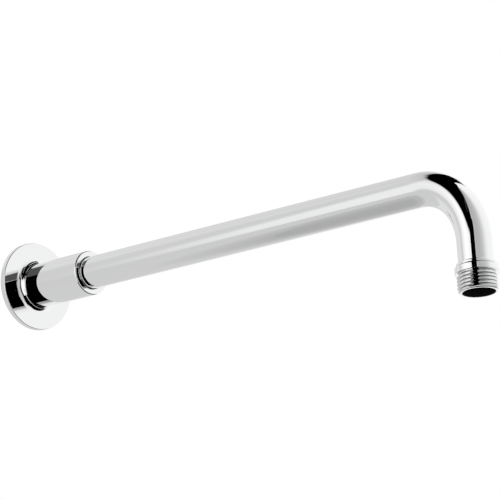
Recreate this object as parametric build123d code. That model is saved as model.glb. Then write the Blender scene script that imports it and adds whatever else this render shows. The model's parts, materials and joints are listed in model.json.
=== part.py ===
from build123d import *
import os
from math import cos, radians, sin

# Wall-mounted shower arm: a bent, plated brass tube with a threaded ferrule brazed on each end,
# and a round wall cover that slides along the tube and grips it with a rubber ring.
# Millimetres. The origin is the centre of the cover's back face, on the wall.
# +X runs out of the wall along the arm, +Z is up, and the outlet leg points down.

# Tube
tube_diameter = 18.0
tube_wall = 1.0
straight_run = 296.0  # wall face to the start of the bend
bend_radius = 36.0  # to the centre line
bend_angle = 85.0  # degrees, so the leg leans a little away from the wall
leg_bare = 11.5  # bare tube between the bend and the outlet ferrule

# Both ferrules
thread_diameter = 20.955  # G 1/2, outside its crests
thread_depth = 1.162  # G 1/2, crest to root
thread_wall = 2.4775  # metal between the crests and the waterway
braze_clearance = 0.05  # radial, between the tube and its socket
lip_wall = 1.15  # metal around a socket, at the ferrule's lip
mouth_chamfer = 0.4

# Outlet ferrule, from its mouth upwards
outlet_thread_length = 9.6
collar_length = 3.2
collar_wall = 2.05  # metal around the socket, at the collar
collar_floor = 1.0  # metal between the thread and the tube's end
groove_width = 0.5
groove_depth = 0.45
lip_length = 1.5
lip_round = 0.5

# Inlet ferrule, from the wall face both ways
inlet_thread_length = 13.0
spanner_length = 8.0
spanner_wall = 1.65  # metal outside the socket's size, at the spanner body
flat_wall = 1.5  # metal between a spanner flat and the waterway
inlet_socket_depth = 8.0

# Wall cover
flange_diameter = 50.0
flange_thickness = 3.2
flange_edge = 0.4
cover_length = 49.5
sleeve_wall = 1.5
sleeve_cove = 3.5
sleeve_round = 0.8  # outer edge of the sleeve's end
mouth_round = 0.8  # inner edge of the sleeve's end, around the tube
cover_clearance = 0.3  # radial, between the sleeve and the inlet ferrule
end_wall = 6.0
guide_clearance = 0.15  # radial, between the end wall and the tube

# Grip ring
ring_section = 1.8
ring_clearance = 0.1  # to the tube and to the groove's bottom
ring_side_clearance = 0.3

tube_radius = tube_diameter / 2
tube_bore_radius = tube_radius - tube_wall
thread_radius = thread_diameter / 2
waterway_radius = min(tube_bore_radius, thread_radius - thread_wall)
socket_radius = tube_radius + braze_clearance
lip_radius = socket_radius + lip_wall
collar_radius = socket_radius + collar_wall
spanner_radius = socket_radius + spanner_wall
mouth_radius = waterway_radius + mouth_chamfer
thread_chamfer = min(thread_depth, 0.75 * (thread_radius - mouth_radius))
ferrule_length = outlet_thread_length + collar_length + groove_width + lip_length
outlet_seat = outlet_thread_length + collar_floor  # mouth to the tube's end
leg_length = leg_bare + ferrule_length
sleeve_bore_radius = spanner_radius + cover_clearance
sleeve_radius = sleeve_bore_radius + sleeve_wall
guide_radius = tube_radius + guide_clearance
ring_radius = tube_radius + ring_clearance + ring_section / 2
ring_groove_radius = ring_radius + ring_section / 2 + ring_clearance
ring_groove_width = ring_section + 2 * ring_side_clearance
ring_place = cover_length - end_wall / 2

# The leg's own frame: its origin is the centre of the mouth, and its X axis runs up the leg.
leg_turn = radians(bend_angle)
leg_down = Vector(cos(leg_turn), 0, -sin(leg_turn))
bend_end = Vector(straight_run + bend_radius * sin(leg_turn), 0, bend_radius * (cos(leg_turn) - 1))
mouth_centre = bend_end + leg_down * leg_length
leg_frame = Plane(origin=mouth_centre, x_dir=-leg_down, z_dir=(0, -1, 0))


def turned(outline, rounds=()):
    # A solid turned about X from (distance along X, radius) points, with some corners rounded.
    section = make_face(Polyline(*outline, close=True))
    for corner, radius in rounds:
        section = fillet(section.vertices().sort_by_distance(corner)[0], radius)
    return revolve(section, Axis.X)


def arm_tube():
    tube_end = bend_end + leg_down * (leg_length - outlet_seat)
    run = Line((spanner_length, 0), (straight_run, 0))
    bend = JernArc(run @ 1, run % 1, bend_radius, -bend_angle)
    leg = Line(bend @ 1, (tube_end.X, tube_end.Z))
    path = Plane.XZ * (run + bend + leg)
    section = Plane(origin=path @ 0, z_dir=path % 0) * (Circle(tube_radius) - Circle(tube_bore_radius))
    return sweep(section, path)


def outlet_ferrule():
    collar_top = outlet_thread_length + collar_length
    lip_foot = collar_top + groove_width
    groove_radius = lip_radius - groove_depth
    outline = [
        (0, mouth_radius),
        (0, thread_radius - thread_chamfer),
        (thread_chamfer, thread_radius),
        (outlet_thread_length, thread_radius),
        (outlet_thread_length, collar_radius),
        (collar_top, collar_radius),
        (collar_top, groove_radius),
        (lip_foot, groove_radius),
        (lip_foot, lip_radius),
        (ferrule_length, lip_radius),
        (ferrule_length, socket_radius),
        (outlet_seat, socket_radius),
        (outlet_seat, waterway_radius),
        (mouth_chamfer, waterway_radius),
    ]
    top_round = min(lip_round, 0.8 * lip_wall)
    return leg_frame.location * turned(outline, [((ferrule_length, lip_radius), top_round)])


def inlet_ferrule():
    back = -inlet_thread_length
    front = spanner_length + inlet_socket_depth
    outline = [
        (back, mouth_radius),
        (back, thread_radius - thread_chamfer),
        (back + thread_chamfer, thread_radius),
        (0, thread_radius),
        (0, spanner_radius),
        (spanner_length, spanner_radius),
        (spanner_length, lip_radius),
        (front, lip_radius),
        (front, socket_radius),
        (spanner_length, socket_radius),
        (spanner_length, waterway_radius),
        (back + mouth_chamfer, waterway_radius),
    ]
    body = turned(outline)
    flat_height = waterway_radius + flat_wall
    chip = Box(
        spanner_length,
        2 * spanner_radius,
        spanner_radius,
        align=(Align.MIN, Align.CENTER, Align.MIN),
    )
    for turn in (0, 180):
        body -= Rot(turn, 0, 0) * Pos(0, 0, flat_height) * chip
    return body


def wall_cover():
    flange_radius = flange_diameter / 2
    end_wall_back = cover_length - end_wall
    groove_back = ring_place - ring_groove_width / 2
    groove_front = ring_place + ring_groove_width / 2
    outline = [
        (0, sleeve_bore_radius),
        (0, flange_radius),
        (flange_thickness, flange_radius),
        (flange_thickness, sleeve_radius),
        (cover_length, sleeve_radius),
        (cover_length, guide_radius),
        (groove_front, guide_radius),
        (groove_front, ring_groove_radius),
        (groove_back, ring_groove_radius),
        (groove_back, guide_radius),
        (end_wall_back, guide_radius),
        (end_wall_back, sleeve_bore_radius),
    ]
    rounds = [
        ((flange_thickness, flange_radius), flange_edge),
        ((flange_thickness, sleeve_radius), sleeve_cove),
        ((cover_length, sleeve_radius), sleeve_round),
        ((cover_length, guide_radius), mouth_round),
    ]
    return turned(outline, rounds)


def grip_ring():
    return Pos(ring_place, 0, 0) * Rot(0, 90, 0) * Torus(ring_radius, ring_section / 2)


pieces = {
    "arm_tube": arm_tube(),
    "outlet_ferrule": outlet_ferrule(),
    "inlet_ferrule": inlet_ferrule(),
    "wall_cover": wall_cover(),
    "grip_ring": grip_ring(),
}

os.makedirs("parts", exist_ok=True)
for name, piece in pieces.items():
    export_step(piece, f"parts/{name}.step")
    print(name, round(piece.volume, 1), "mm3")
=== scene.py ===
import json
import math

import bmesh
import bpy
from mathutils import Matrix, Vector


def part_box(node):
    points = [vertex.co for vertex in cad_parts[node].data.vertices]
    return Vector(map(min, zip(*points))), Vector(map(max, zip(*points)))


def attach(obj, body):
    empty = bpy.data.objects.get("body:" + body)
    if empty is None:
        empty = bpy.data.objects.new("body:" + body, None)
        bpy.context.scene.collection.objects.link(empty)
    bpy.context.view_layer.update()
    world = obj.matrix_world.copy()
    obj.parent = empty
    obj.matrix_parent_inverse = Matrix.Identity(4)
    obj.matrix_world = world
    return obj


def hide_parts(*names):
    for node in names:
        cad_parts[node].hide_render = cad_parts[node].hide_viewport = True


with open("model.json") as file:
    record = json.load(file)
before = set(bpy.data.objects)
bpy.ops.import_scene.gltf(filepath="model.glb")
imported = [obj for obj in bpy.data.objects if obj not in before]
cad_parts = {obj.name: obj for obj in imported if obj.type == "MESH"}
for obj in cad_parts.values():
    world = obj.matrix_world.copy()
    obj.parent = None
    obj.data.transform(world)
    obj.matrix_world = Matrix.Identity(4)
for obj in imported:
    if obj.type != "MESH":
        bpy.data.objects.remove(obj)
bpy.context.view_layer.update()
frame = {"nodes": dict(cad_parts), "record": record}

mm = 0.001  # pieces are sized in millimetres; camera, cards and floor are placed in metres
mounts = {mount["name"]: mount for mount in frame["record"]["mounts"]}
black = (0, 0, 0, 1)
white = (1, 1, 1, 1)
print("frame loaded:", sorted(frame["nodes"]))


def addObject(name, data):
    thing = bpy.data.objects.new(name, data)
    bpy.context.scene.collection.objects.link(thing)
    return thing


# camera, at the photograph's place: below the arm, out from the wall and to one side
cameraSet = {
    "place": (1.239875, -1.057652, -0.387061),
    "yaw": -45.188,  # degrees from +Y towards +X
    "pitch": 14.128,  # degrees upwards
    "focalPixels": 2918.122,
    "framePixels": 500,
    "sensor": 36.0,
    "clipEnd": 100.0,
}


def addCamera(c):
    yaw = math.radians(c["yaw"])
    pitch = math.radians(c["pitch"])
    level = math.cos(pitch)
    look = Vector((math.sin(yaw) * level, math.cos(yaw) * level, math.sin(pitch)))
    data = bpy.data.cameras.new("photoCamera")
    data.sensor_width = c["sensor"]
    data.lens = c["sensor"] * c["focalPixels"] / c["framePixels"]
    data.clip_end = c["clipEnd"]
    camera = addObject("photoCamera", data)
    camera.location = c["place"]
    camera.rotation_euler = look.to_track_quat("-Z", "Y").to_euler()
    bpy.context.scene.camera = camera


addCamera(cameraSet)
print("camera placed")


# small helpers for node trees
def link(tree, source, target):
    tree.links.new(source, target)


def mathNode(tree, operation, *values):
    node = tree.nodes.new("ShaderNodeMath")
    node.operation = operation
    for socket, value in zip(node.inputs, values):
        if isinstance(value, (int, float)):
            socket.default_value = value
        else:
            link(tree, value, socket)
    return node.outputs[0]


def mapRange(tree, value, low, high, toLow, toHigh, smooth=False):
    node = tree.nodes.new("ShaderNodeMapRange")
    if smooth:
        node.interpolation_type = "SMOOTHSTEP"
    link(tree, value, node.inputs["Value"])
    node.inputs["From Min"].default_value = low
    node.inputs["From Max"].default_value = high
    node.inputs["To Min"].default_value = toLow
    node.inputs["To Max"].default_value = toHigh
    return node.outputs["Result"]


def splitCoords(tree, kind):
    coords = tree.nodes.new("ShaderNodeTexCoord")
    split = tree.nodes.new("ShaderNodeSeparateXYZ")
    link(tree, coords.outputs[kind], split.inputs[0])
    return split.outputs


# finishes
noiseEnds = (0.3, 0.7)  # a noise's own values lie mostly between these
chromeSet = {
    "colour": (0.90, 0.903, 0.908, 1),
    "roughness": (0.006, 0.018),
    "hazeScale": 260.0,
    "hazeDetail": 4.0,
}
# painted shade: the thread's chrome is darkened and dulled down in the valleys by their depth,
# standing in for the shade there
threadPlateAndShadeSet = {
    "valleyShadeColour": (0.16, 0.16, 0.163, 1),
    "valley": (0.70, 1.0),  # shares of the depth between which it darkens
    "roughness": (0.03, 0.10),
}
# painted shade: the bore finish is near black, standing in for the shade inside the tube and
# ferrules; only its dullness is the bare metal's own
boreSet = {
    "colour": (0.010, 0.010, 0.011, 1),
    "specular": 0.1,
    "roughness": (0.55, 0.8),
    "grainScale": 700.0,
    "grainDetail": 3.0,
}
brassSet = {
    "colour": (0.74, 0.55, 0.25, 1),
    "roughness": (0.16, 0.34),
    "turningScale": 5200.0,
    "turningDetail": 2.0,
    "turningStretch": (1, 0.02, 0.02),  # fine along X, long round it
    "bump": 0.06,
    "bumpHeight": 0.02,  # mm
}
rubberSet = {
    "colour": (0.018, 0.018, 0.019, 1),
    "roughness": (0.55, 0.8),
    "grainScale": 1500.0,
    "grainDetail": 3.0,
    "bump": 0.12,
    "bumpHeight": 0.02,  # mm
}


def newMaterial(name, colour, metallic=0.0):
    material = bpy.data.materials.new(name)
    material.use_nodes = True
    tree = material.node_tree
    shader = tree.nodes["Principled BSDF"]
    shader.inputs["Base Color"].default_value = colour
    shader.inputs["Metallic"].default_value = metallic
    return material, tree, shader


def objectNoise(tree, scale, detail, stretch=(1, 1, 1)):
    coords = tree.nodes.new("ShaderNodeTexCoord")
    mapping = tree.nodes.new("ShaderNodeMapping")
    mapping.inputs["Scale"].default_value = stretch
    noise = tree.nodes.new("ShaderNodeTexNoise")
    noise.inputs["Scale"].default_value = scale
    noise.inputs["Detail"].default_value = detail
    link(tree, coords.outputs["Object"], mapping.inputs["Vector"])
    link(tree, mapping.outputs["Vector"], noise.inputs["Vector"])
    return noise.outputs["Fac"]


def roughFrom(tree, shader, noise, ends):
    link(tree, mapRange(tree, noise, *noiseEnds, *ends), shader.inputs["Roughness"])


def bumpFrom(tree, shader, noise, finish):
    bump = tree.nodes.new("ShaderNodeBump")
    bump.inputs["Strength"].default_value = finish["bump"]
    bump.inputs["Distance"].default_value = finish["bumpHeight"] * mm
    link(tree, noise, bump.inputs["Height"])
    link(tree, bump.outputs["Normal"], shader.inputs["Normal"])


def makeChrome(c):
    material, tree, shader = newMaterial("polishedChrome", c["colour"], metallic=1.0)
    haze = objectNoise(tree, c["hazeScale"], c["hazeDetail"])
    roughFrom(tree, shader, haze, c["roughness"])
    return material


def makeThreadPlateAndShade(p):
    material, tree, shader = newMaterial("threadChrome", chromeSet["colour"], metallic=1.0)
    # painted shade: the stored valley depth mixes the chrome towards the dark valley colour
    depth = tree.nodes.new("ShaderNodeAttribute")
    depth.attribute_name = "valley"
    share = mapRange(tree, depth.outputs["Fac"], *p["valley"], 0, 1, smooth=True)
    mix = tree.nodes.new("ShaderNodeMix")
    mix.data_type = "RGBA"
    mix.inputs["A"].default_value = chromeSet["colour"]
    mix.inputs["B"].default_value = p["valleyShadeColour"]
    link(tree, share, mix.inputs["Factor"])
    link(tree, mix.outputs["Result"], shader.inputs["Base Color"])
    link(tree, mapRange(tree, share, 0, 1, *p["roughness"]), shader.inputs["Roughness"])
    return material


def makeBore(b):
    material, tree, shader = newMaterial("borePaintedShade", b["colour"])
    shader.inputs["Specular IOR Level"].default_value = b["specular"]
    grain = objectNoise(tree, b["grainScale"], b["grainDetail"])
    roughFrom(tree, shader, grain, b["roughness"])
    return material


def makeBrass(b):
    material, tree, shader = newMaterial("turnedBrass", b["colour"], metallic=1.0)
    turning = objectNoise(tree, b["turningScale"], b["turningDetail"], b["turningStretch"])
    roughFrom(tree, shader, turning, b["roughness"])
    bumpFrom(tree, shader, turning, b)
    return material


def makeRubber(r):
    material, tree, shader = newMaterial("ringRubber", r["colour"])
    grain = objectNoise(tree, r["grainScale"], r["grainDetail"])
    roughFrom(tree, shader, grain, r["roughness"])
    bumpFrom(tree, shader, grain, r)
    return material


chrome = makeChrome(chromeSet)
threadPlateAndShade = makeThreadPlateAndShade(threadPlateAndShadeSet)
bore = makeBore(boreSet)
brass = makeBrass(brassSet)
rubber = makeRubber(rubberSet)
print("finishes made")


# meshes turned about X from (along, radius) points, in millimetres
def arc(centre, radius, startDeg, endDeg, steps):
    angles = [math.radians(startDeg + (endDeg - startDeg) * k / steps) for k in range(steps + 1)]
    return [(centre[0] + radius * math.cos(a), centre[1] + radius * math.sin(a)) for a in angles]


def holdStraights(profile, gap=0.02, least=0.3):
    # a point just inside each end of a long straight keeps rounds beside it from bending its shading
    held = [profile[0]]
    for (x0, r0), (x1, r1) in zip(profile, profile[1:]):
        length = math.hypot(x1 - x0, r1 - r0)
        if length > least:
            share = gap / length
            held.append((x0 + (x1 - x0) * share, r0 + (r1 - r0) * share))
            held.append((x1 + (x0 - x1) * share, r1 + (r0 - r1) * share))
        held.append((x1, r1))
    return held


def turnsOf(segments):
    return [2 * math.pi * k / segments for k in range(segments)]


def circleRing(along, radius, segments):
    return [Vector((along, radius * math.cos(a), radius * math.sin(a))) for a in turnsOf(segments)]


def skinRings(name, rings, finishes, finishOf, closed=True):
    mesh = bpy.data.meshes.new(name)
    bm = bmesh.new()
    rows = [[bm.verts.new(point * mm) for point in ring] for ring in rings]
    pairs = list(zip(rows, rows[1:] + rows[:1]))
    if not closed:
        pairs.pop()
    for index, (here, there) in enumerate(pairs):
        for k in range(len(here)):
            nextK = (k + 1) % len(here)
            face = bm.faces.new((here[k], here[nextK], there[nextK], there[k]))
            face.material_index = finishOf(index)
    bm.to_mesh(mesh)
    bm.free()
    for finish in finishes:
        mesh.materials.append(finish)
    return addObject(name, mesh)


def finishMesh(piece, sharpDeg=32, merge=0.0005):
    bm = bmesh.new()
    bm.from_mesh(piece.data)
    bmesh.ops.remove_doubles(bm, verts=bm.verts, dist=merge * mm)
    bmesh.ops.recalc_face_normals(bm, faces=bm.faces)
    bm.to_mesh(piece.data)
    bm.free()
    for polygon in piece.data.polygons:
        polygon.use_smooth = True
    piece.data.set_sharp_from_angle(angle=math.radians(sharpDeg))


# G 1/2 thread on both ends
outletMount = mounts["outlet_thread"]
threadSet = {
    "pitch": 1.814,
    "crest": outletMount["dims"]["r_mm"],
    "depth": 1.162,
    "relief": 0.5,
    "flat": 0.12,  # share of the profile that is crest or root
    "rowsPerTurn": 12,
    "segments": 144,
    "startSegment": 72,  # where round the axis the turns start
    "weld": 0.002,
    "sharpDeg": 40,
}
threadRoot = threadSet["crest"] - threadSet["depth"]


# cuts the turns on an open turned blank whose axis is X and whose end is at 0
def buildThreadTree():
    tree = bpy.data.node_groups.new("threadCutter", "GeometryNodeTree")
    for kind, names in (
        ("NodeSocketGeometry", ("Geometry",)),
        ("NodeSocketFloat", ("Pitch", "Crest", "Depth", "Length", "Relief", "Flat", "Start")),
        ("NodeSocketInt", ("Turns", "Rows Per Turn", "Segments")),
        ("NodeSocketMaterial", ("Finish",)),
    ):
        for name in names:
            tree.interface.new_socket(name, in_out="INPUT", socket_type=kind)
    tree.interface.new_socket("Geometry", in_out="OUTPUT", socket_type="NodeSocketGeometry")
    given = tree.nodes.new("NodeGroupInput").outputs
    result = tree.nodes.new("NodeGroupOutput")
    phaseShift = 2.00001  # keeps the phase above zero and off the jump at a whole turn

    def calc(operation, *values):
        return mathNode(tree, operation, *values)

    def clamp(value, low, high):
        return calc("MINIMUM", calc("MAXIMUM", value, low), high)

    def step(kind, geometry):
        node = tree.nodes.new(kind)
        link(tree, geometry, node.inputs["Geometry"])
        return node

    # a flat grid, one unit wide, is wound into a helix: X goes round it and Y climbs it
    grid = tree.nodes.new("GeometryNodeMeshGrid")
    rows = calc("ADD", calc("MULTIPLY", given["Turns"], given["Rows Per Turn"]), 1)
    link(tree, calc("ADD", given["Segments"], 1), grid.inputs["Vertices X"])
    link(tree, rows, grid.inputs["Vertices Y"])
    place = tree.nodes.new("GeometryNodeInputPosition")
    split = tree.nodes.new("ShaderNodeSeparateXYZ")
    link(tree, place.outputs["Position"], split.inputs[0])
    turn = calc("ADD", split.outputs["X"], 0.5)
    rise = calc("MULTIPLY", calc("ADD", split.outputs["Y"], 0.5), given["Turns"])
    climb = calc("SUBTRACT", rise, 1)
    along = calc("MULTIPLY", calc("ADD", climb, turn), given["Pitch"])
    along = clamp(along, 0, given["Length"])

    # truncated V across one pitch, crest in the middle
    pitches = calc("DIVIDE", along, given["Pitch"])
    phase = calc("FRACT", calc("ADD", calc("SUBTRACT", pitches, turn), phaseShift))
    ramp = calc("SUBTRACT", 1, calc("ABSOLUTE", calc("SUBTRACT", calc("MULTIPLY", phase, 2), 1)))
    flank = calc("SUBTRACT", 1, calc("MULTIPLY", given["Flat"], 2))
    shape = clamp(calc("DIVIDE", calc("SUBTRACT", ramp, given["Flat"]), flank), 0, 1)
    height = calc("MULTIPLY", shape, given["Depth"])
    runOut = calc("SUBTRACT", calc("SUBTRACT", given["Length"], given["Relief"]), along)
    height = calc("MINIMUM", height, calc("MAXIMUM", runOut, 0))
    height = calc("MINIMUM", height, along)  # end chamfer, at 45 degrees
    radius = calc("ADD", calc("SUBTRACT", given["Crest"], given["Depth"]), height)
    valley = calc("SUBTRACT", 1, shape)
    angle = calc("MULTIPLY", calc("ADD", turn, given["Start"]), 2 * math.pi)
    join = tree.nodes.new("ShaderNodeCombineXYZ")
    link(tree, along, join.inputs["X"])
    link(tree, calc("MULTIPLY", radius, calc("COSINE", angle)), join.inputs["Y"])
    link(tree, calc("MULTIPLY", radius, calc("SINE", angle)), join.inputs["Z"])
    # the valley depth is stored for the shade painted into the thread's valleys
    note = step("GeometryNodeStoreNamedAttribute", grid.outputs["Mesh"])
    note.data_type = "FLOAT"
    note.domain = "POINT"
    note.inputs["Name"].default_value = "valley"
    link(tree, valley, note.inputs["Value"])
    move = step("GeometryNodeSetPosition", note.outputs["Geometry"])
    link(tree, join.outputs["Vector"], move.inputs["Position"])

    # the turns are marked, welded to the blank and given their finish last
    mark = step("GeometryNodeCaptureAttribute", move.outputs["Geometry"])
    mark.domain = "FACE"
    mark.capture_items.new("BOOLEAN", "Turns")
    mark.inputs["Turns"].default_value = True
    both = step("GeometryNodeJoinGeometry", mark.outputs["Geometry"])
    link(tree, given["Geometry"], both.inputs["Geometry"])
    weld = step("GeometryNodeMergeByDistance", both.outputs["Geometry"])
    weld.inputs["Distance"].default_value = threadSet["weld"] * mm
    real = step("GeometryNodeRealizeInstances", weld.outputs["Geometry"])
    plate = step("GeometryNodeSetMaterial", real.outputs["Geometry"])
    link(tree, mark.outputs["Turns"], plate.inputs["Selection"])
    link(tree, given["Finish"], plate.inputs["Material"])
    link(tree, plate.outputs["Geometry"], result.inputs["Geometry"])
    return tree


threadTree = buildThreadTree()


def cutThread(blank, length, finish, t=threadSet):
    modifier = blank.modifiers.new("thread", "NODES")
    modifier.node_group = threadTree
    inputs = [item for item in threadTree.interface.items_tree if item.in_out == "INPUT"]
    identifiers = {item.name: item.identifier for item in inputs}
    values = {
        "Pitch": t["pitch"] * mm,
        "Crest": t["crest"] * mm,
        "Depth": t["depth"] * mm,
        "Length": length * mm,
        "Relief": t["relief"] * mm,
        "Flat": t["flat"],
        "Start": t["startSegment"] / t["segments"],
        "Turns": math.ceil(length / t["pitch"]) + 1,
        "Rows Per Turn": t["rowsPerTurn"],
        "Segments": t["segments"],
        "Finish": finish,
    }
    for name, value in values.items():
        modifier[identifiers[name]] = value
    evaluated = blank.evaluated_get(bpy.context.evaluated_depsgraph_get())
    mesh = bpy.data.meshes.new_from_object(evaluated)
    blank.modifiers.remove(modifier)
    old = blank.data
    blank.data = mesh
    bpy.data.meshes.remove(old)
    mesh.name = blank.name
    for index in reversed(range(len(mesh.materials))):
        if mesh.materials[index] is None:  # the grid's own empty slot, now unused
            mesh.materials.pop(index=index)
    finishMesh(blank, t["sharpDeg"])


print("thread tree built:", len(threadTree.nodes), "nodes")


# arm tube: straight run, bend and leg, with its bore
tubeSet = {
    "bendStart": 296.0,
    "bendRadius": 36.0,
    "bendDeg": 85.0,
    "wall": 1.0,
    "seat": 10.6,  # outlet mouth to the tube's end
    "runSteps": 24,
    "bendSteps": 96,
    "legSteps": 6,
    "segments": 160,
}
# the mouth is past the end of the outlet's mount by the thread's end chamfer
legDown = Vector(outletMount["axis"]).normalized()
mouthCentre = Vector(outletMount["pos_m"]) / mm
mouthCentre += legDown * (outletMount["dims"]["length_mm"] / 2 + threadSet["depth"])


def tubeStations(t, start, end):
    # (centre, outward side in the bend's plane) down the tube's axis
    stations = []
    for k in range(t["runSteps"]):
        along = start + (t["bendStart"] - start) * k / t["runSteps"]
        stations.append((Vector((along, 0, 0)), Vector((0, 0, 1))))
    bendCentre = Vector((t["bendStart"], 0, -t["bendRadius"]))
    for k in range(t["bendSteps"] + 1):
        turn = math.radians(t["bendDeg"]) * k / t["bendSteps"]
        side = Vector((math.sin(turn), 0, math.cos(turn)))
        stations.append((bendCentre + side * t["bendRadius"], side))
    bendEnd, side = stations[-1]
    for k in range(1, t["legSteps"] + 1):
        stations.append((bendEnd.lerp(end, k / t["legSteps"]), side))
    return stations


def tubeRing(station, radius, segments):
    centre, side = station
    across = Vector((0, 1, 0))
    return [centre + (side * math.cos(a) + across * math.sin(a)) * radius for a in turnsOf(segments)]


def makeTube(t):
    low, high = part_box("arm_tube")
    radius, segments = high.y / mm, t["segments"]
    stations = tubeStations(t, low.x / mm, mouthCentre - legDown * t["seat"])
    outer = [tubeRing(station, radius, segments) for station in stations]
    inner = [tubeRing(station, radius - t["wall"], segments) for station in reversed(stations)]
    plated = len(outer)
    # the tube's inner wall takes the near-black bore finish, which is painted shade
    tube = skinRings("armTube", outer + inner, [chrome, bore], lambda row: 0 if row < plated else 1)
    finishMesh(tube)
    return tube


armTube = makeTube(tubeSet)
print("tube made:", len(armTube.data.polygons), "faces")


# wall cover: flange and sleeve turned as one piece
coverSet = {
    "flangeThickness": 3.2,
    "flangeEdge": 0.4,
    "sleeveRadius": 12.5,
    "cove": 3.5,
    "endRound": 0.8,
    "mouthRound": 0.8,
    "boreRadius": 11.0,
    "endWall": 6.0,
    "guideRadius": 9.15,
    "grooveRadius": 11.0,
    "grooveWidth": 2.4,
    "edgeSteps": 8,
    "coveSteps": 24,
    "roundSteps": 20,
    "segments": 256,
}


def makeCover(c):
    length, flange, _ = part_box("wall_cover")[1] / mm
    face, sleeve, guide = c["flangeThickness"], c["sleeveRadius"], c["guideRadius"]
    edge, cove, endRound, mouthRound = c["flangeEdge"], c["cove"], c["endRound"], c["mouthRound"]
    endBack = length - c["endWall"]
    grooveMid = length - c["endWall"] / 2
    grooveBack = grooveMid - c["grooveWidth"] / 2
    grooveFront = grooveMid + c["grooveWidth"] / 2
    outside = [(0, c["boreRadius"]), (0, flange)]
    outside += arc((face - edge, flange - edge), edge, 90, 0, c["edgeSteps"])
    outside += arc((face + cove, sleeve + cove), cove, 180, 270, c["coveSteps"])
    outside += arc((length - endRound, sleeve - endRound), endRound, 90, 0, c["roundSteps"])
    outside += arc((length - mouthRound, guide + mouthRound), mouthRound, 0, -90, c["roundSteps"])
    outside += [(grooveFront, guide)]
    outside = holdStraights(outside)
    inside = [
        (grooveFront, c["grooveRadius"]),
        (grooveBack, c["grooveRadius"]),
        (grooveBack, guide),
        (endBack, guide),
        (endBack, c["boreRadius"]),
    ]
    rings = [circleRing(along, radius, c["segments"]) for along, radius in outside + inside]
    plated = len(outside) - 1
    cover = skinRings("wallCover", rings, [chrome, brass], lambda row: 0 if row < plated else 1)
    finishMesh(cover)
    return cover


wallCover = makeCover(coverSet)
print("cover made:", len(wallCover.data.polygons), "faces")


# what both ferrules have
ferruleSet = {
    "lipRadius": 10.2,
    "socketRadius": 9.05,
    "boreRadius": 8.0,
    "mouthChamfer": 0.4,
}


def boreToMouth(f, seat):
    # from the seat of the tube's end down the bore to the thread's root, at the mouth
    return [
        (seat, f["socketRadius"]),
        (seat, f["boreRadius"]),
        (f["mouthChamfer"], f["boreRadius"]),
        (0, f["boreRadius"] + f["mouthChamfer"]),
        (0, threadRoot),
    ]


# outlet ferrule, from its mouth upwards
outletSet = {
    "threadLength": 9.6,
    "collarLength": 3.2,
    "collarRadius": 11.1,
    "collarEdge": 0.25,
    "grooveWidth": 0.5,
    "grooveRadius": 9.75,
    "lipLength": 1.5,
    "lipEdge": 0.12,
    "lipRound": 0.5,
    "edgeSteps": 8,
    "lipSteps": 10,
}


def makeOutlet(f):
    foot, edge, collar = f["threadLength"], f["collarEdge"], f["collarRadius"]
    lip, lipEdge, lipRound = ferruleSet["lipRadius"], f["lipEdge"], f["lipRound"]
    collarTop = foot + f["collarLength"]
    lipFoot = collarTop + f["grooveWidth"]
    top = lipFoot + f["lipLength"]
    profile = [(foot, threadRoot)]
    profile += arc((foot + edge, collar - edge), edge, 180, 90, f["edgeSteps"])
    profile += arc((collarTop - edge, collar - edge), edge, 90, 0, f["edgeSteps"])
    profile += [(collarTop, f["grooveRadius"]), (lipFoot, f["grooveRadius"])]
    profile += [(lipFoot, lip - lipEdge), (lipFoot + lipEdge, lip)]
    profile += arc((top - lipRound, lip - lipRound), lipRound, 90, 0, f["lipSteps"])
    profile += [(top, ferruleSet["socketRadius"])]
    profile = holdStraights(profile)
    darkFrom = len(profile) - 1
    profile += boreToMouth(ferruleSet, tubeSet["seat"])
    darkTo = len(profile) - 3

    def finishOf(row):
        # painted shade: the socket, the bore and the groove's floor and upper side take the
        # near-black bore finish, standing in for the shade in these recesses
        (along, radius), (nextAlong, nextRadius) = profile[row], profile[row + 1]
        inGroove = min(along, nextAlong) >= collarTop and max(along, nextAlong) <= lipFoot
        dark = darkFrom <= row <= darkTo or (inGroove and max(radius, nextRadius) < lip)
        return 1 if dark else 0

    rings = [circleRing(along, radius, threadSet["segments"]) for along, radius in profile]
    ferrule = skinRings("outletFerrule", rings, [chrome, bore], finishOf, closed=False)
    cutThread(ferrule, f["threadLength"], threadPlateAndShade)
    up = -legDown
    across = Vector((0, 1, 0))
    place = Matrix((up, across, up.cross(across))).transposed().to_4x4()
    place.translation = mouthCentre * mm
    ferrule.data.transform(place)
    return ferrule


outletFerrule = makeOutlet(outletSet)
print("outlet made:", len(outletFerrule.data.polygons), "faces")


# inlet ferrule, from the end of its stub outwards
inletSet = {
    "spannerLength": 8.0,
    "bodyRadius": 10.7,
    "flatHeight": 9.5,
    "socketDepth": 8.0,
}


def flattened(ring, height):
    return [Vector((p.x, p.y, max(-height, min(height, p.z)))) for p in ring]


def makeInlet(f):
    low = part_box("inlet_ferrule")[0]
    lip, segments = ferruleSet["lipRadius"], threadSet["segments"]
    wall = -low.x / mm  # stub's end to the wall face
    body = wall + f["spannerLength"]
    front = body + f["socketDepth"]
    profile = [(body, lip), (front, lip), (front, ferruleSet["socketRadius"])]
    profile += boreToMouth(ferruleSet, body)
    rings = [circleRing(wall, threadRoot, segments)]
    for along in (wall, body):
        rings.append(flattened(circleRing(along, f["bodyRadius"], segments), f["flatHeight"]))
    rings += [circleRing(along, radius, segments) for along, radius in profile]
    ferrule = skinRings("inletFerrule", rings, [brass], lambda row: 0, closed=False)
    cutThread(ferrule, wall, brass)
    ferrule.data.transform(Matrix.Translation((low.x, 0, 0)))
    return ferrule


inletFerrule = makeInlet(inletSet)
print("inlet made:", len(inletFerrule.data.polygons), "faces")


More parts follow.
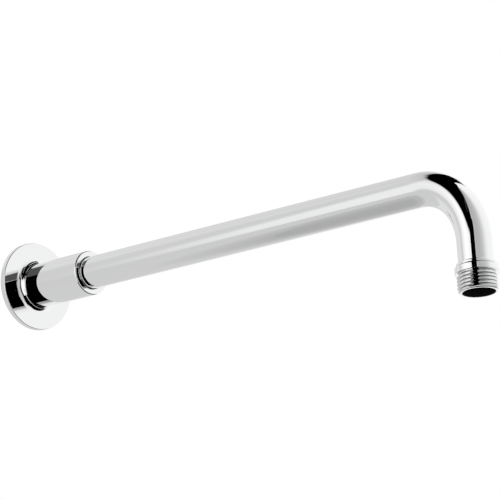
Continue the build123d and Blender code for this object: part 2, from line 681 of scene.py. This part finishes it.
# each piece on its body
for piece, node, body, slot in (
    (armTube, "arm_tube", "arm", "plated_tube"),
    (outletFerrule, "outlet_ferrule", "arm", "plated_ferrule"),
    (inletFerrule, "inlet_ferrule", "arm", "bare_brass"),
    (wallCover, "wall_cover", "cover", "plated_cover"),
):
    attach(piece, body)
    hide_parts(node)
ringMesh = frame["nodes"]["grip_ring"].data
ringMesh.materials.clear()
ringMesh.materials.append(rubber)
print("pieces riding")


# studio: what the chrome mirrors, by direction round the arm (degrees from +X towards +Y) and by
# height (degrees over the horizon)
studioSet = {
    "around": (-180, 180),
    "height": (-90, 90),
    # grey level by height, on the wall's side
    "wallByHeight": ((-60, 0.42), (-45, 0.46), (-30, 0.56), (-15, 0.64), (5, 0.675), (60, 0.69)),
    # share of the lighter middle of the wall by direction, its ends in height and its level
    "wallMiddle": ((-180, 1.0), (-160, 1.0), (-146, 0.0), (146, 0.0), (160, 1.0), (180, 1.0)),
    "wallMiddleEnds": (-20, 45),
    "wallMiddleEdge": 12,
    "wallMiddleLevel": 0.80,
    # level of the pale backdrop by direction, and where it ends
    "backdrop": (
        (-52, 0.42), (-45, 0.46), (-30, 0.49), (-15, 0.53), (0, 0.62), (15, 0.80), (30, 0.94),
        (45, 0.985), (90, 1.02), (130, 1.04),
    ),
    "backdropEnds": (-48, 133),
    "backdropEdge": 9,
    # share of the white card by direction, where its bottom is, how far it reaches over that
    "card": (
        (-140, 0.0), (-137, 0.02), (-133.4, 0.52), (-131, 0.56), (-125, 0.66),
        (-112, 1.0), (-58, 1.0), (-48, 0.0),
    ),
    "cardBottom": ((-140, -16), (-128, -18), (-112, -42)),
    "cardReach": 78,
    "cardEdge": 9,
    "cardLevel": 1.12,
    # height below which the table is dark, by direction
    "table": (
        (-62, -90), (-50, -60), (0, -44), (22, -37), (34, -29), (50, -27), (100, -27),
        (125, -34), (140, -60), (150, -90),
    ),
    "tableEdge": 4,
    # height above which the ceiling is dark, by direction
    "ceiling": (
        (-180, 62), (-162, 61), (-145, 55), (-130, 46), (-110, 41), (-100, 33), (-90, 26),
        (-80, 22), (-72, 24), (-58, 25), (-53, 34), (-48, 58), (-38, 78), (-22, 90), (0, 96),
        (98, 96), (108, 70), (114, 48), (124, 53), (140, 60), (160, 62), (180, 62),
    ),
    # fall of light by degrees over that height
    "ceilingFall": ((-20, 1.0), (-16, 1.0), (-4, 0.88), (-2, 0.78), (2, 0.0), (20, 0.0)),
}


def gradient(tree, value, stops, ends=None):
    # a colour ramp over the ends, or over the stops' own, with levels scaled to 0..1 and back
    low, high = ends or (stops[0][0], stops[-1][0])
    levels = [level for _, level in stops]
    bottom, top = min(levels), max(levels)
    node = tree.nodes.new("ShaderNodeValToRGB")
    elements = node.color_ramp.elements
    while len(elements) < len(stops):
        elements.new(0.5)
    for element, (at, _) in zip(elements, stops):
        element.position = (at - low) / (high - low)
    for element, level in zip(elements, levels):
        share = (level - bottom) / (top - bottom)
        element.color = (share, share, share, 1)
    link(tree, mapRange(tree, value, low, high, 0, 1), node.inputs["Fac"])
    return mapRange(tree, node.outputs["Color"], 0, 1, bottom, top)


def band(tree, value, low, high, edge):
    rise = mapRange(tree, value, low - edge, low + edge, 0, 1, smooth=True)
    fall = mapRange(tree, value, high - edge, high + edge, 1, 0, smooth=True)
    return mathNode(tree, "MULTIPLY", rise, fall)


def blendLevel(tree, mask, under, over):
    # under + mask * (over - under)
    difference = mathNode(tree, "SUBTRACT", over, under)
    return mathNode(tree, "MULTIPLY_ADD", mask, difference, under)


def addStudio(s):
    world = bpy.data.worlds.new("studio")
    world.use_nodes = True
    bpy.context.scene.world = world
    tree = world.node_tree
    x, y, z = splitCoords(tree, "Generated")
    around = mathNode(tree, "DEGREES", mathNode(tree, "ARCTAN2", y, x))
    height = mathNode(tree, "DEGREES", mathNode(tree, "ARCSINE", z))

    def byDirection(name):
        return gradient(tree, around, s[name], s["around"])

    level = gradient(tree, height, s["wallByHeight"], s["height"])
    middleHeight = band(tree, height, *s["wallMiddleEnds"], s["wallMiddleEdge"])
    middle = mathNode(tree, "MULTIPLY", byDirection("wallMiddle"), middleHeight)
    level = blendLevel(tree, middle, level, s["wallMiddleLevel"])
    backdropMask = band(tree, around, *s["backdropEnds"], s["backdropEdge"])
    level = blendLevel(tree, backdropMask, level, byDirection("backdrop"))
    cardRise = mathNode(tree, "SUBTRACT", height, byDirection("cardBottom"))
    cardHeight = band(tree, cardRise, 0, s["cardReach"], s["cardEdge"])
    card = mathNode(tree, "MULTIPLY", byDirection("card"), cardHeight)
    level = blendLevel(tree, card, level, s["cardLevel"])
    overCeiling = mathNode(tree, "SUBTRACT", height, byDirection("ceiling"))
    level = mathNode(tree, "MULTIPLY", level, gradient(tree, overCeiling, s["ceilingFall"]))
    overTable = mathNode(tree, "SUBTRACT", height, byDirection("table"))
    clear = mapRange(tree, overTable, -s["tableEdge"], s["tableEdge"], 0, 1, smooth=True)
    level = mathNode(tree, "MULTIPLY", level, clear)

    # plain white where the camera looks past the arm
    rays = tree.nodes.new("ShaderNodeLightPath")
    shown = blendLevel(tree, rays.outputs["Is Camera Ray"], level, 1.0)
    background = tree.nodes["Background"]
    background.inputs["Strength"].default_value = 1.0
    link(tree, shown, background.inputs["Color"])


addStudio(studioSet)
print("studio made")


# cards near the arm, seen only in its reflections: outlines in metres, in a plane across one axis
cardSet = {
    # dark stand between the white card and the camera
    "darkStand": {
        "across": "y",
        "at": -0.5,
        "outline": (
            (0.37, -0.6), (0.95, -0.6), (0.95, -0.02), (0.77, 0.04),
            (0.75, 0.17), (0.77, 0.47), (0.445, 0.47), (0.445, -0.25),
        ),
        "level": 0.0,
    },
    # dark floor cloth in front of the arm
    "darkCloth": {
        "across": "z",
        "at": -0.5,
        "outline": ((0.03, -0.5), (0.9, -0.5), (0.9, 0.2), (0.03, 0.2)),
        "level": 0.0,
    },
    # pale card close under the outlet, which hides the dark cloth from it
    "outletCard": {
        "across": "z",
        "at": -0.11,
        "outline": ((0.27, -0.06), (0.295, -0.06), (0.42, 0.065), (0.42, 0.11), (0.27, 0.11)),
        "level": 0.62,
    },
    # dark flag high over the cover
    "highFlag": {
        "across": "z",
        "at": 0.6,
        "outline": ((0.02, -0.4), (0.30, -0.4), (0.30, 0.2), (0.26, 0.45), (0.02, 0.45)),
        "level": 0.0,
    },
    # dark flag over the run, beside the bend's flag
    "runFlag": {
        "across": "z",
        "at": 0.301,
        "outline": ((0.18, -0.3), (0.305, -0.3), (0.305, 0.0), (0.18, 0.0)),
        "level": 0.0,
    },
    # dark flag close over the bend, which hides the grey one from it
    "bendShield": {
        "across": "z",
        "at": 0.15,
        "outline": (
            (0.29, 0.01), (0.29, -0.2), (0.41, -0.2),
            (0.385, -0.07), (0.347, -0.02), (0.33, 0.01),
        ),
        "level": 0.0,
    },
    # grey flag over the bend
    "bendFlag": {
        "across": "z",
        "at": 0.3,
        "outline": (
            (0.30, 0.02), (0.30, -0.34), (0.48, -0.34),
            (0.445, -0.139), (0.37, -0.039), (0.335, 0.02),
        ),
        "level": 0.09,
    },
    # pale bounce board under the arm: levels along X, darker towards the bend, and one level at its
    # front, which takes over between two places along Y
    "bounceBoard": {
        "across": "z",
        "at": -0.22,
        "outline": ((-1.0, -0.7), (0.0, -0.7), (0.0, 0.6), (-1.0, 0.6)),
        "level": ((-1.0, 0.672), (-0.12, 0.665), (0.0, 0.50)),
        "front": (-0.34, -0.18),
        "frontLevel": 0.66,
    },
}


def addCard(name, c):
    corners = [(x, v, c["at"]) if c["across"] == "z" else (x, c["at"], v) for x, v in c["outline"]]
    mesh = bpy.data.meshes.new(name)
    mesh.from_pydata(corners, [], [list(range(len(corners)))])
    card = addObject(name, mesh)
    material, tree, shader = newMaterial(name, black)
    shader.inputs["Specular IOR Level"].default_value = 0.0
    shader.inputs["Emission Color"].default_value = white
    if isinstance(c["level"], tuple):
        x, y, _ = splitCoords(tree, "Object")
        front = mapRange(tree, y, *c["front"], 1, 0, smooth=True)
        level = blendLevel(tree, front, gradient(tree, x, c["level"]), c["frontLevel"])
        link(tree, level, shader.inputs["Emission Strength"])
    else:
        shader.inputs["Emission Strength"].default_value = c["level"]
    mesh.materials.append(material)
    card.visible_camera = False
    card.visible_diffuse = False
    card.visible_transmission = False
    card.visible_shadow = False


for cardName, cardValues in cardSet.items():
    addCard(cardName, cardValues)
print("cards made:", len(cardSet))


# floor, well below the arm
floorSet = {
    "height": -1.0,
    "half": 40.0,
    "squares": 8,
    "colour": (0.86, 0.86, 0.86, 1),
    "roughness": 0.9,
    "cameraGlow": 0.45,  # added where the camera sees it, so that it joins the white backdrop
}


def addFloor(f):
    bm = bmesh.new()
    bmesh.ops.create_grid(bm, x_segments=f["squares"], y_segments=f["squares"], size=f["half"])
    bmesh.ops.translate(bm, verts=bm.verts, vec=(0, 0, f["height"]))
    mesh = bpy.data.meshes.new("floor")
    bm.to_mesh(mesh)
    bm.free()
    floor = addObject("floor", mesh)
    material, tree, shader = newMaterial("paleFloor", f["colour"])
    shader.inputs["Roughness"].default_value = f["roughness"]
    shader.inputs["Emission Color"].default_value = white
    rays = tree.nodes.new("ShaderNodeLightPath")
    seen = mathNode(tree, "MULTIPLY", rays.outputs["Is Camera Ray"], f["cameraGlow"])
    link(tree, seen, shader.inputs["Emission Strength"])
    # clear from underneath, so that the arm can be looked at from below
    side = tree.nodes.new("ShaderNodeNewGeometry")
    through = tree.nodes.new("ShaderNodeBsdfTransparent")
    mix = tree.nodes.new("ShaderNodeMixShader")
    link(tree, side.outputs["Backfacing"], mix.inputs["Fac"])
    link(tree, shader.outputs["BSDF"], mix.inputs[1])
    link(tree, through.outputs["BSDF"], mix.inputs[2])
    link(tree, mix.outputs["Shader"], tree.nodes["Material Output"].inputs["Surface"])
    mesh.materials.append(material)
    floor.visible_glossy = False  # the chrome mirrors the studio's own lower half instead


addFloor(floorSet)
bpy.context.scene.view_settings.view_transform = "Standard"
print("floor made")
